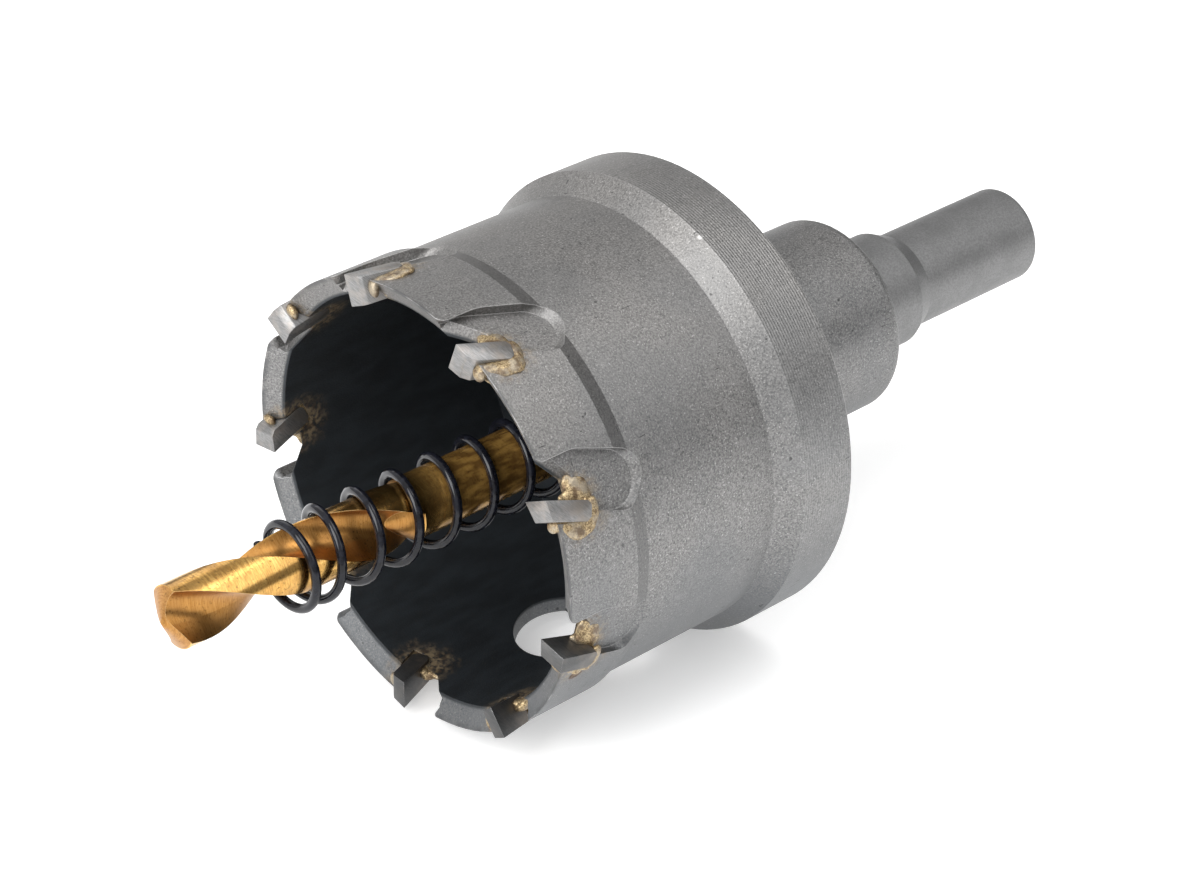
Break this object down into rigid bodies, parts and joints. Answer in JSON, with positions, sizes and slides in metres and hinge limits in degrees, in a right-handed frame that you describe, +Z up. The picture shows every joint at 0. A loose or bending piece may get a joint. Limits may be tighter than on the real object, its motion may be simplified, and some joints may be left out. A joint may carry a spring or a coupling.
{
  "type": "carbide tipped hole saw",
  "caption": "Cup-shaped metal hole saw with brazed carbide teeth, a twist pilot drill inside an ejector spring, and a stepped round shank.",
  "frame": {"origin": "on the surface that the tool lies on, under the middle of its overall length", "axes": "+X along the tool axis towards the shank, +Y across, +Z up; the teeth and the pilot drill point to -X"},
  "size_m": [0.1072, 0.0466, 0.0465],
  "materials": {
    "blasted_steel": "bead-blasted alloy steel, matte grey",
    "shank_steel": "blasted alloy steel, smooth matte grey",
    "carbide": "ground cemented carbide",
    "braze_metal": "grainy silver-copper braze",
    "gold_coated_steel": "titanium nitride coated high speed steel, ground",
    "black_spring_steel": "glossy black coated spring wire",
    "black_oxide_steel": "black oxide steel"
  },
  "bodies": {
    "root": {"cutter_body": "blasted_steel", "shank": "shank_steel", "pilot_drill": "gold_coated_steel", "ejector_spring": "black_spring_steel", "set_screw": "black_oxide_steel", "carbide_tip_1": "carbide", "carbide_tip_2": "carbide", "carbide_tip_3": "carbide", "carbide_tip_4": "carbide", "carbide_tip_5": "carbide", "carbide_tip_6": "carbide", "carbide_tip_7": "carbide", "carbide_tip_8": "carbide", "carbide_tip_9": "carbide", "braze_1": "braze_metal", "braze_2": "braze_metal", "braze_3": "braze_metal", "braze_4": "braze_metal", "braze_5": "braze_metal", "braze_6": "braze_metal", "braze_7": "braze_metal", "braze_8": "braze_metal", "braze_9": "braze_metal"}
  },
  "joints": []
}
